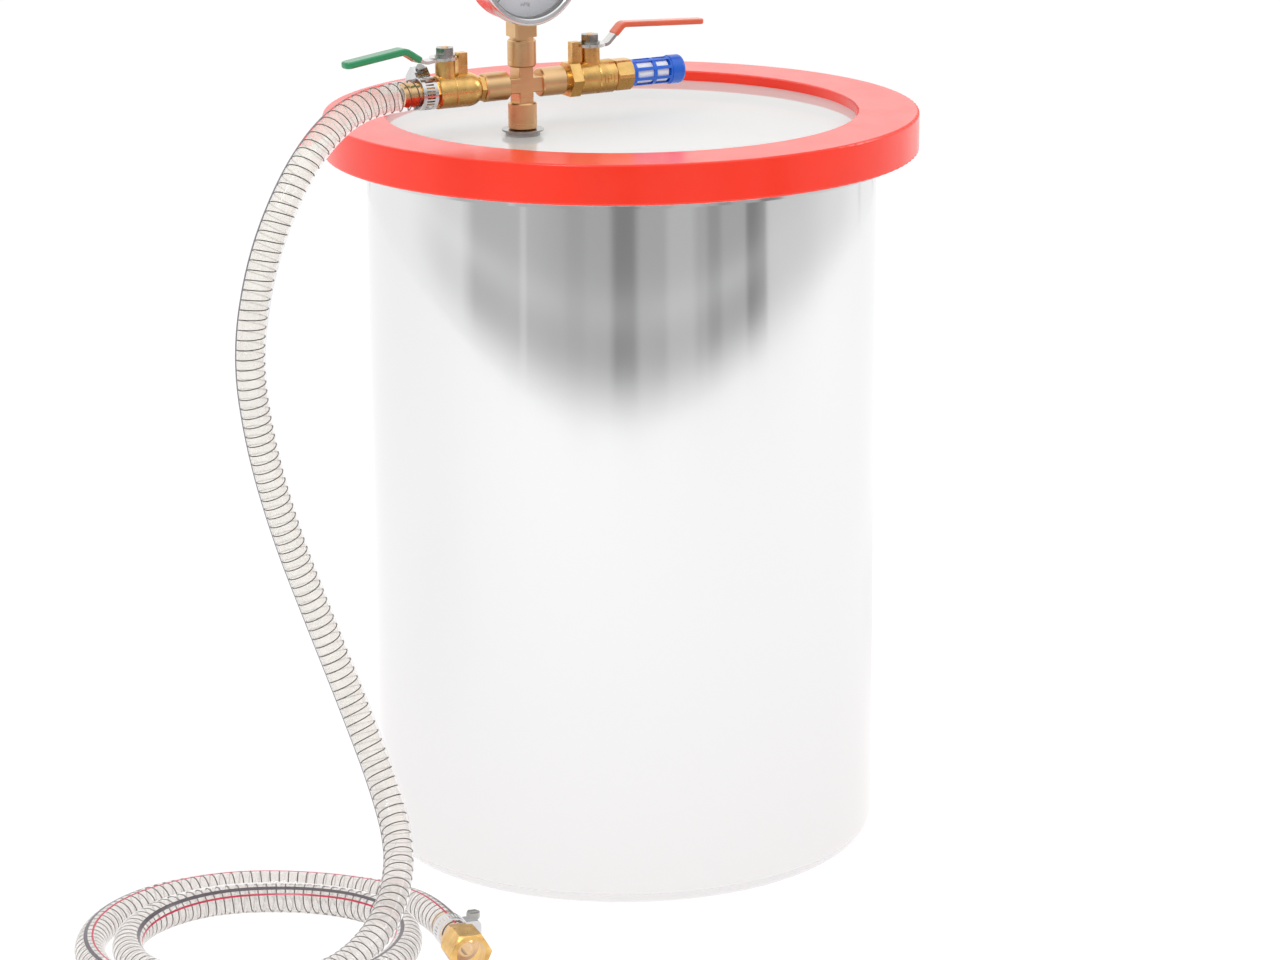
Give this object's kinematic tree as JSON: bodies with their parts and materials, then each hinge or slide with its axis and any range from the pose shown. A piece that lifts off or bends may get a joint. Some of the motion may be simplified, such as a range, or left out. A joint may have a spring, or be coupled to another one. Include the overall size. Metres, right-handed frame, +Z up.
{
  "type": "vacuum degassing chamber",
  "caption": "Deep polished steel pot with a clear gasketed lid, brass ball-valve manifold, vacuum gauge, air filter and a wire-reinforced suction hose.",
  "frame": {"origin": "centre of the pot's flat base, on the surface it stands on", "axes": "+Z up through the lid, +X along the brass manifold from the hose end to the filter end, the gauge faces -Y"},
  "size_m": [0.5644, 0.3611, 0.5645],
  "materials": {
    "polished_steel": "mirror polished",
    "silicone": "satin",
    "clear_acrylic": "gloss",
    "cast_brass": "satin",
    "turned_brass": "machined",
    "plated_steel": "satin",
    "green_vinyl": "gloss",
    "red_vinyl": "gloss",
    "blue_plastic": "gloss",
    "filter_felt": "matte",
    "white_ptfe": "satin",
    "black_rubber": "matte",
    "hose_pvc": "gloss",
    "gauge_steel": "polished",
    "gauge_glass": "gloss",
    "dial_white": "satin",
    "pointer_black": "satin",
    "spring_bronze": "satin"
  },
  "bodies": {
    "pot": {"pot_body": "polished_steel", "hose_landing": "hose_pvc", "hose_coil": "hose_pvc", "hose_tail": "hose_pvc", "pump_barb": "turned_brass", "pump_clamp_band": "plated_steel", "pump_clamp_housing": "plated_steel", "pump_clamp_screw": "plated_steel"},
    "lid": {"lid_disc": "clear_acrylic", "gasket_ring": "silicone", "bulkhead_tube": "turned_brass", "top_seal": "black_rubber", "top_washer": "turned_brass", "bottom_seal": "black_rubber", "bottom_washer": "plated_steel", "lock_nut": "turned_brass", "cross_fitting": "turned_brass", "vacuum_valve_body": "cast_brass", "vent_valve_body": "cast_brass", "vacuum_valve_end": "cast_brass", "vent_valve_end": "cast_brass", "vacuum_valve_seats": "white_ptfe", "vent_valve_seats": "white_ptfe", "vacuum_stem_packing": "white_ptfe", "vent_stem_packing": "white_ptfe", "vacuum_packing_gland": "turned_brass", "vent_packing_gland": "turned_brass", "hose_barb": "turned_brass", "hose_clamp_band": "plated_steel", "hose_clamp_housing": "plated_steel", "hose_clamp_screw": "plated_steel", "hose_run": "hose_pvc", "filter_cage": "blue_plastic", "filter_element": "filter_felt", "filter_cap": "blue_plastic", "gauge_socket": "turned_brass", "gauge_case": "gauge_steel", "gauge_bezel": "gauge_steel", "gauge_lens": "gauge_glass", "gauge_dial": "dial_white", "dial_screws": "turned_brass", "bourdon_tube": "spring_bronze", "tube_tip": "turned_brass", "movement_frame": "turned_brass"},
    "vacuum_lever": {"vacuum_lever_arm": "plated_steel", "vacuum_lever_grip": "green_vinyl", "vacuum_lever_nut": "plated_steel", "vacuum_valve_stem": "turned_brass", "vacuum_valve_ball": "gauge_steel"},
    "vent_lever": {"vent_lever_arm": "plated_steel", "vent_lever_grip": "red_vinyl", "vent_lever_nut": "plated_steel", "vent_valve_stem": "turned_brass", "vent_valve_ball": "gauge_steel"},
    "gauge_sector": {"gauge_sector": "turned_brass"},
    "gauge_link": {"gauge_link": "turned_brass"},
    "gauge_pointer": {"gauge_pointer": "pointer_black", "pinion_arbor": "turned_brass"},
    "pump_nut": {"pump_swivel_nut": "turned_brass"}
  },
  "joints": [
    {"name": "lid_lift", "type": "slide", "parent": "pot", "child": "lid", "axis": [0, 0, 1], "range_m": [0, 0.1]},
    {"name": "vacuum_lever_turn", "type": "hinge", "parent": "lid", "child": "vacuum_lever", "pos_m": [-0.1222, -0.015, 0.4865], "axis": [0, 0, 1], "range_deg": [-8, 82]},
    {"name": "vent_lever_turn", "type": "hinge", "parent": "lid", "child": "vent_lever", "pos_m": [-0.0286, -0.015, 0.4865], "axis": [0, 0, 1], "range_deg": [0, 90]},
    {"name": "sector_swing", "type": "hinge", "parent": "lid", "child": "gauge_sector", "pos_m": [-0.073, -0.015, 0.52035], "axis": [0, -1, 0], "range_deg": [-45, 0]},
    {"name": "link_swing", "type": "hinge", "parent": "gauge_sector", "child": "gauge_link", "pos_m": [-0.07864, -0.015, 0.5183], "axis": [0, -1, 0], "range_deg": [0, 45]},
    {"name": "pointer_turn", "type": "hinge", "parent": "lid", "child": "gauge_pointer", "pos_m": [-0.073, -0.015, 0.533], "axis": [0, -1, 0], "range_deg": [0, 270]},
    {"name": "pump_nut_spin", "type": "hinge", "parent": "pot", "child": "pump_nut", "pos_m": [-0.19546, -0.16875, 0.013], "axis": [-0.1644, -0.9864, 0], "continuous": true}
  ],
  "couplings": [
    {"joint": "pointer_turn", "follows": "sector_swing", "ratio": -6},
    {"joint": "link_swing", "follows": "sector_swing", "ratio": -1}
  ]
}
